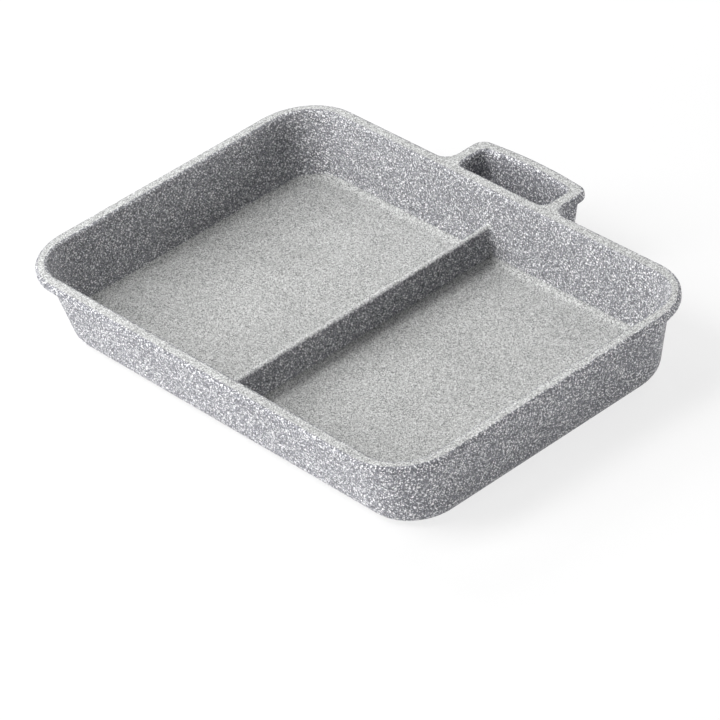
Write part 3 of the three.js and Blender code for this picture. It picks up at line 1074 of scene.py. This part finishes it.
@dataclass
class InductionPlate:
    """Steel plate in the underside, with the casting's metal showing in its holes."""

    length: float = 214.0
    depth: float = 124.0
    corner: float = 14.0
    hole: float = 6.0
    pitch: float = 18.0
    margin: float = 6.0
    stud_gap: float = 0.08
    stud_low: float = 0.06
    stud_high: float = 0.95
    stud_sides: int = 24
    grid_columns: int = 25
    grid_rows: int = 17

    def stud_points(self, pen: NodePen, sizes: dict[str, bpy.types.NodeSocket]) -> bpy.types.NodeSocket:
        """Writes the nodes that set one point in each hole of a staggered pattern.

        Args:
            pen: Pen of the tree.
            sizes: Named inputs of the tree.

        Returns:
            The points.
        """
        row = pen.math("MULTIPLY", sizes["Pitch"], math.sqrt(3) / 2)
        grid = pen.node("GeometryNodeMeshGrid", inputs={
            "Size X": pen.math("MULTIPLY", sizes["Pitch"], self.grid_columns - 1.0),
            "Size Y": pen.math("MULTIPLY", row, self.grid_rows - 1.0),
            "Vertices X": self.grid_columns,
            "Vertices Y": self.grid_rows,
        }).outputs["Mesh"]
        position = pen.node("GeometryNodeInputPosition").outputs[0]
        place = pen.node("ShaderNodeSeparateXYZ", inputs={0: position}).outputs
        number = pen.math("ROUND", pen.math("DIVIDE", place["Y"], row))
        odd = pen.math("ABSOLUTE", pen.math("MODULO", number, 2.0))
        stagger = pen.math("MULTIPLY", sizes["Pitch"], 0.5)
        shift = pen.math("MULTIPLY", pen.math("SUBTRACT", 1.0, odd), stagger)
        offset = pen.node("ShaderNodeCombineXYZ", inputs={"X": shift})
        points = pen.node("GeometryNodeSetPosition", inputs={"Geometry": grid, "Offset": offset.outputs[0]})
        over, corners = [], []
        for axis, size in (("X", "Length"), ("Y", "Depth")):
            half = pen.math("MULTIPLY", sizes[size], 0.5)
            over.append(pen.math("SUBTRACT", pen.math("ABSOLUTE", place[axis]), half))
            corners.append(pen.math("MAXIMUM", pen.math("ADD", over[-1], sizes["Corner"]), 0.0))
        both = pen.math("MULTIPLY", *[pen.math("SIGN", part) for part in corners])
        away = pen.math("SQRT", pen.math("ADD", *[pen.math("POWER", part, 2.0) for part in corners]))
        room = pen.math("SUBTRACT", sizes["Corner"], sizes["Reach"])
        cut = pen.math("MULTIPLY", both, pen.math("GREATER_THAN", away, room))
        border = pen.math("MULTIPLY", sizes["Reach"], -1.0)
        beyond = pen.math("GREATER_THAN", pen.math("MAXIMUM", *over), border)
        outside = pen.math("GREATER_THAN", pen.math("ADD", cut, beyond), 0.5)
        kept = pen.node("GeometryNodeDeleteGeometry", {"domain": "POINT"},
                        {"Geometry": points.outputs["Geometry"], "Selection": outside})
        return kept.outputs["Geometry"]

    def stud_tree(self, metal: bpy.types.Material) -> bpy.types.GeometryNodeTree:
        """Builds the tree that sets one stud in each hole.

        Args:
            metal: Material of the studs.

        Returns:
            The tree, with named inputs for its sizes in metres.
        """
        tree = bpy.data.node_groups.new("plate_studs", "GeometryNodeTree")
        for name in ("Length", "Depth", "Corner", "Reach", "Pitch", "Radius", "Low", "High"):
            tree.interface.new_socket(name, in_out="INPUT", socket_type="NodeSocketFloat")
        tree.interface.new_socket("Studs", in_out="OUTPUT", socket_type="NodeSocketGeometry")
        pen = NodePen(tree)
        sizes = {socket.name: socket for socket in pen.node("NodeGroupInput").outputs}
        points = self.stud_points(pen, sizes)
        height = pen.math("SUBTRACT", sizes["High"], sizes["Low"])
        stud = pen.node("GeometryNodeMeshCylinder",
                        inputs={"Vertices": self.stud_sides, "Radius": sizes["Radius"], "Depth": height})
        middle = pen.math("MULTIPLY", pen.math("ADD", sizes["High"], sizes["Low"]), 0.5)
        lift = pen.node("ShaderNodeCombineXYZ", inputs={"Z": middle})
        tone_and_top_highlight = pen.node("GeometryNodeTransform",
                          inputs={"Geometry": stud.outputs["Mesh"], "Translation": lift.outputs[0]})
        placed = pen.node("GeometryNodeInstanceOnPoints",
                          inputs={"Points": points, "Instance": tone_and_top_highlight.outputs["Geometry"]})
        real = pen.node("GeometryNodeRealizeInstances", inputs={"Geometry": placed.outputs["Instances"]})
        coated = pen.node("GeometryNodeSetMaterial",
                          inputs={"Geometry": real.outputs["Geometry"], "Material": metal})
        pen.node("NodeGroupOutput", inputs={"Studs": coated.outputs["Geometry"]})
        return tree

    def build(self, metal: BrushedMetal) -> bpy.types.Object:
        """Builds the studs that fill the plate's holes.

        Args:
            metal: Finish of the studs.

        Returns:
            The piece.
        """
        material = metal.material()
        tree = self.stud_tree(material)
        piece = new_piece("plate_studs", bpy.data.meshes.new("plate_studs"))
        modifier = piece.modifiers.new("studs", "NODES")
        modifier.node_group = tree
        sizes = {
            "Length": self.length,
            "Depth": self.depth,
            "Corner": self.corner,
            "Reach": self.hole / 2 + self.margin,
            "Pitch": self.pitch,
            "Radius": self.hole / 2 - self.stud_gap,
            "Low": self.stud_low,
            "High": self.stud_high,
        }
        for item in tree.interface.items_tree:
            if item.in_out == "INPUT":
                modifier[item.identifier] = sizes[item.name] * MM
        bake_modifiers(piece)
        return piece

    def dress(self, studs: bpy.types.Object, steel: BrushedMetal) -> None:
        """Gives the plate its steel and the studs their place in the frame.

        Args:
            studs: The studs in the plate's holes.
            steel: Finish of the plate.
        """
        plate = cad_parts["induction_plate"]
        material = steel.material()
        for place in plate.material_slots:
            place.material = material
        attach(studs, "root")


@dataclass(frozen=True)
class Lamp:
    """Soft lamp that faces the middle of the pan: place and size in metres, power in watts."""

    name: str
    place: Vertex
    size: Point
    power: float

    def build(self) -> None:
        """Links the lamp to the scene."""
        light = bpy.data.lights.new(self.name, "AREA")
        light.energy = self.power
        light.shape = "RECTANGLE"
        light.size, light.size_y = self.size
        lamp = bpy.data.objects.new(self.name, light)
        lamp.rotation_mode = "QUATERNION"
        lamp.rotation_quaternion = Vector(self.place).to_track_quat("Z", "Y")
        lamp.location = self.place
        lamp.visible_camera = False
        bpy.context.scene.collection.objects.link(lamp)


@dataclass
class Studio:
    """Pale floor, soft lamps and the camera."""

    azimuth: float = 53.781
    elevation: float = 34.507
    roll: float = -9.121
    distance: float = 2030.0
    lens: float = 216.391
    shift: Point = (-0.0042, -0.01357)
    sensor: float = 36.0
    clip: Point = (0.05, 100.0)
    floor_size: float = 30.0
    floor_drop: float = 0.0002
    floor_opening: Vertex = (0.120, 0.075, 0.020)
    opening_steps: int = 8
    floor_colour: Colour = (0.90, 0.90, 0.90, 1.0)
    floor_glow: float = 0.09
    floor_lift: float = 0.74
    ambient: float = 0.01
    surround: Colour = (0.97, 0.98, 1.0, 1.0)
    lamps: tuple[Lamp, ...] = (
        Lamp("key_lamp", (-0.475, -0.823, 1.645), (0.8, 0.8), 21.5),
        Lamp("left_lamp", (-1.537, 0.243, 1.090), (0.8, 0.8), 13.0),
        Lamp("front_lamp", (-0.778, -1.348, 1.090), (0.8, 0.8), 15.8),
        Lamp("low_lamp", (0.0, -1.871, 0.330), (0.5, 0.5), 16.2),
        Lamp("side_lamp", (1.323, 1.323, 0.330), (0.5, 0.5), 11.6),
        Lamp("back_lamp", (0.0, 1.221, 1.455), (0.8, 0.8), 4.4),
        Lamp("under_lamp", (0.30, -0.40, -1.10), (1.0, 1.0), 12.0),
    )

    def build_camera(self) -> None:
        """Sets the camera at the photograph's viewing angle."""
        azimuth, elevation, roll = (math.radians(v) for v in (self.azimuth, self.elevation, self.roll))
        flat = math.cos(elevation)
        back = Vector((math.sin(azimuth) * flat, -math.cos(azimuth) * flat, math.sin(elevation)))
        right = Vector((math.cos(azimuth), math.sin(azimuth), 0.0))
        up = back.cross(right)
        turned = math.cos(roll) * right + math.sin(roll) * up
        raised = math.cos(roll) * up - math.sin(roll) * right
        data = bpy.data.cameras.new("photo_camera")
        data.lens = self.lens
        data.sensor_width = self.sensor
        data.shift_x, data.shift_y = self.shift
        data.clip_start, data.clip_end = self.clip
        camera = bpy.data.objects.new("photo_camera", data)
        bpy.context.scene.collection.objects.link(camera)
        pose = Matrix((turned, raised, back)).transposed().to_4x4()
        pose.translation = back * self.distance * MM
        camera.matrix_world = pose
        bpy.context.scene.camera = camera

    def shown_white(self, pen: NodePen) -> bpy.types.NodeSocket:
        """Writes a factor that is 1 for camera, glossy and transmission rays.

        Args:
            pen: Pen of the tree.

        Returns:
            The factor.
        """
        path = pen.node("ShaderNodeLightPath").outputs
        glossy = pen.math("MAXIMUM", path["Is Camera Ray"], path["Is Glossy Ray"])
        return pen.math("MAXIMUM", glossy, path["Is Transmission Ray"])

    def floor_mesh(self) -> bpy.types.Mesh:
        """Builds the floor around its rounded opening.

        Returns:
            The mesh in metres.
        """
        bm = bmesh.new()
        length, depth, radius = self.floor_opening
        x, y = length - radius, depth - radius
        ring = []
        for i, (cx, cy) in enumerate(((x, y), (-x, y), (-x, -y), (x, -y))):
            ring += arc(cx, cy, radius, i * QUARTER, (i + 1) * QUARTER, self.opening_steps)
        inner = [bm.verts.new((px, py, -self.floor_drop)) for px, py in ring]
        outer = []
        for px, py in ring:
            stretch = self.floor_size / 2 / math.hypot(px, py)
            outer.append(bm.verts.new((px * stretch, py * stretch, -self.floor_drop)))
        for i in range(len(ring)):
            j = (i + 1) % len(ring)
            bm.faces.new((outer[i], outer[j], inner[j], inner[i]))
        mesh = bpy.data.meshes.new("studio_floor")
        bm.to_mesh(mesh)
        bm.free()
        return mesh

    def build_floor(self) -> None:
        """Lays the glowing floor, open only under the base and see-through from below."""
        floor = new_piece("studio_floor", self.floor_mesh())
        material, pen = new_material("floor_white")
        pale = pen.node("ShaderNodeBsdfDiffuse", inputs={"Color": self.floor_colour})
        glow = pen.node("ShaderNodeEmission", inputs={"Strength": self.floor_glow})
        felt = pen.node("ShaderNodeAddShader", inputs={0: pale.outputs[0], 1: glow.outputs[0]})
        white = pen.node("ShaderNodeEmission", inputs={"Strength": 1.0})
        seen = pen.node("ShaderNodeMixShader", inputs={
            0: self.floor_lift, 1: felt.outputs[0], 2: white.outputs[0]})
        lit = pen.node("ShaderNodeMixShader", inputs={
            0: self.shown_white(pen), 1: felt.outputs[0], 2: seen.outputs[0]})
        clear = pen.node("ShaderNodeBsdfTransparent")
        under = pen.node("ShaderNodeNewGeometry").outputs["Backfacing"]
        sided = pen.node("ShaderNodeMixShader", inputs={0: under, 1: lit.outputs[0], 2: clear.outputs[0]})
        surface_output(pen, sided.outputs[0])
        floor.data.materials.append(material)

    def build_world(self) -> None:
        """Makes a soft pale surround that shows as white."""
        world = bpy.data.worlds.new("studio_world")
        world.use_nodes = True
        world.node_tree.nodes.clear()
        pen = NodePen(world.node_tree)
        soft = pen.node("ShaderNodeBackground", inputs={"Color": self.surround, "Strength": self.ambient})
        white = pen.node("ShaderNodeBackground", inputs={"Color": WHITE, "Strength": 1.0})
        both = pen.node("ShaderNodeMixShader", inputs={
            0: self.shown_white(pen), 1: soft.outputs[0], 2: white.outputs[0]})
        pen.node("ShaderNodeOutputWorld", inputs={"Surface": both.outputs[0]})
        bpy.context.scene.world = world

    def build(self) -> None:
        """Builds the whole studio."""
        self.build_camera()
        self.build_floor()
        self.build_world()
        for lamp in self.lamps:
            lamp.build()
        bpy.context.scene.view_settings.view_transform = "Standard"


def main() -> None:
    """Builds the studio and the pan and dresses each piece."""
    logging.basicConfig(level=logging.INFO, format="%(message)s")
    Studio().build()
    casting = PanCasting()
    body = casting.build()
    casting.dress(body, MarbleCoat())
    LOG.info("pan_casting: %d faces", len(body.data.polygons))
    plate = InductionPlate()
    studs = plate.build(BARE_ALUMINIUM)
    plate.dress(studs, INDUCTION_STEEL)
    LOG.info("plate_studs: %d faces", len(studs.data.polygons))
    LOG.info("induction_plate: dressed as %s", INDUCTION_STEEL.name)


if __name__ == "__main__":
    main()
